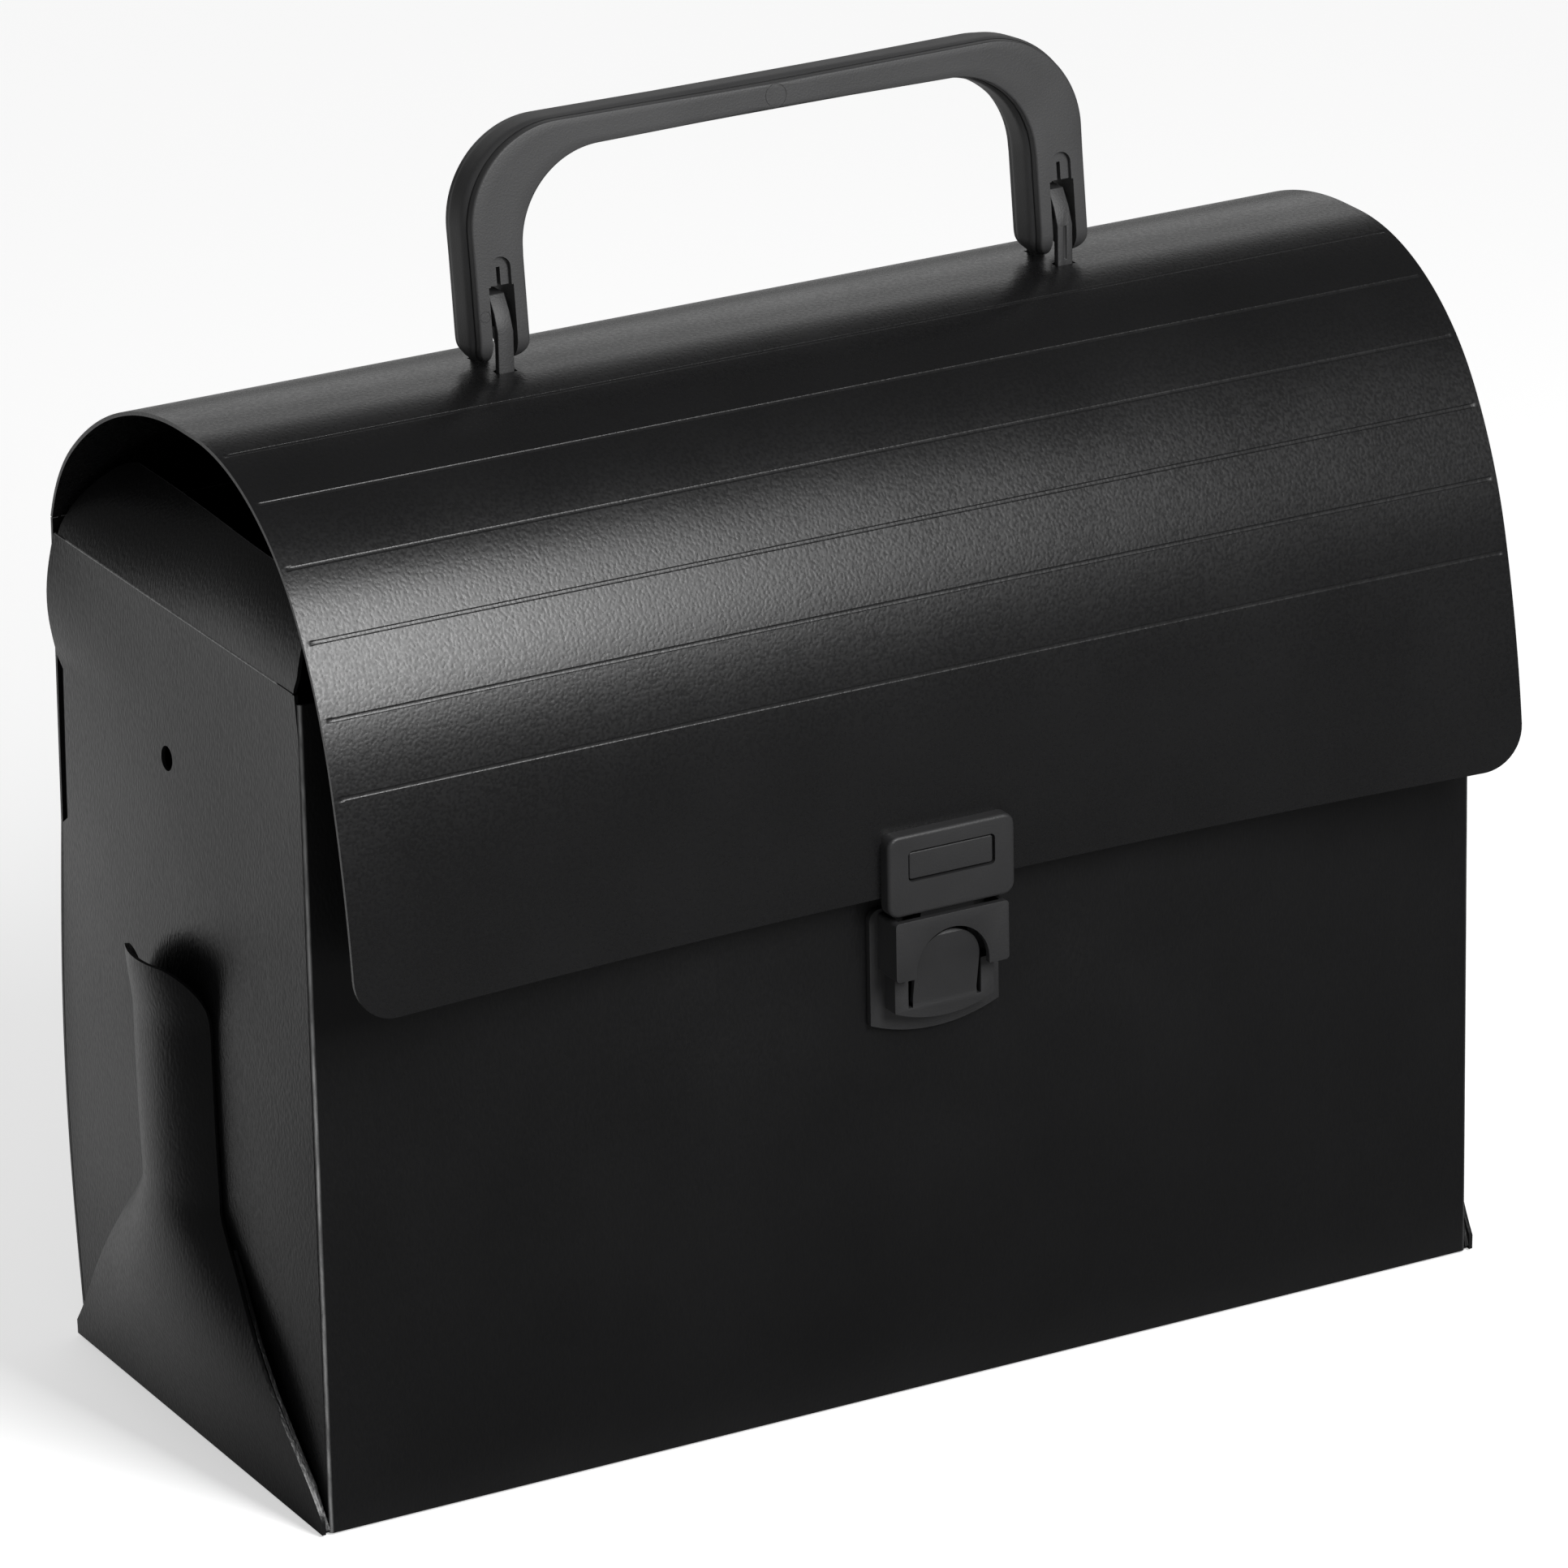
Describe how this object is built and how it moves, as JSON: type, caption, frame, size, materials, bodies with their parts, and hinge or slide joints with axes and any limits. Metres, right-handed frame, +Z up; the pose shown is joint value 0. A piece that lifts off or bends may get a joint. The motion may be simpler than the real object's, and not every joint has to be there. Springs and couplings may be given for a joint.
{
  "type": "carry case with barrel lid",
  "caption": "Creased plastic carry case with a barrel lid, a swinging loop handle on hooks and a press-to-release push lock.",
  "frame": {"origin": "centre of the base, on the surface the case stands on", "axes": "+X to the right across the width, +Y to the back (the lock faces -Y), +Z up"},
  "size_m": [0.2872, 0.1384, 0.2616],
  "materials": {
    "case_sheet": "fine linen grain, satin black polypropylene sheet",
    "lid_sheet": "fine sand grain, satin black polypropylene sheet",
    "handle_plastic": "matt moulded dark grey",
    "lock_plastic": "matt moulded charcoal"
  },
  "bodies": {
    "case": {"front_panel": "case_sheet", "back_panel": "case_sheet", "bottom_panel": "case_sheet", "left_end_panel": "case_sheet", "right_end_panel": "case_sheet", "left_side_flap": "case_sheet", "right_side_flap": "case_sheet", "left_front_web": "case_sheet", "left_back_web": "case_sheet", "right_front_web": "case_sheet", "right_back_web": "case_sheet", "left_bottom_flap": "case_sheet", "right_bottom_flap": "case_sheet", "catch_housing": "lock_plastic", "catch_backing": "lock_plastic"},
    "left_dust_flap": {"left_dust_flap": "case_sheet"},
    "right_dust_flap": {"right_dust_flap": "case_sheet"},
    "release_tongue": {"release_tongue": "lock_plastic"},
    "lid": {"lid": "lid_sheet", "hasp_plate": "lock_plastic", "hasp_backing": "lock_plastic", "left_hook": "handle_plastic", "right_hook": "handle_plastic", "left_hook_retainer": "handle_plastic", "right_hook_retainer": "handle_plastic"},
    "handle": {"handle": "handle_plastic"}
  },
  "joints": [
    {"name": "lid_hinge", "type": "hinge", "parent": "case", "child": "lid", "pos_m": [0, 0.054, 0.17715], "axis": [-1, 0, 0], "range_deg": [0, 110]},
    {"name": "handle_swing", "type": "hinge", "parent": "lid", "child": "handle", "pos_m": [0, -0.0062, 0.22391], "axis": [1, 0, 0], "range_deg": [-89, 101]},
    {"name": "release_press", "type": "hinge", "parent": "case", "child": "release_tongue", "pos_m": [0, -0.0698, 0.0901], "axis": [-1, 0, 0], "range_deg": [0, 6], "stiffness_Nm_per_rad": 0.2},
    {"name": "left_dust_fold", "type": "hinge", "parent": "case", "child": "left_dust_flap", "pos_m": [-0.1302, 0, 0.174], "axis": [0, 1, 0], "range_deg": [0, 72], "stiffness_Nm_per_rad": 0.01},
    {"name": "right_dust_fold", "type": "hinge", "parent": "case", "child": "right_dust_flap", "pos_m": [0.1302, 0, 0.174], "axis": [0, -1, 0], "range_deg": [0, 72], "stiffness_Nm_per_rad": 0.01}
  ]
}
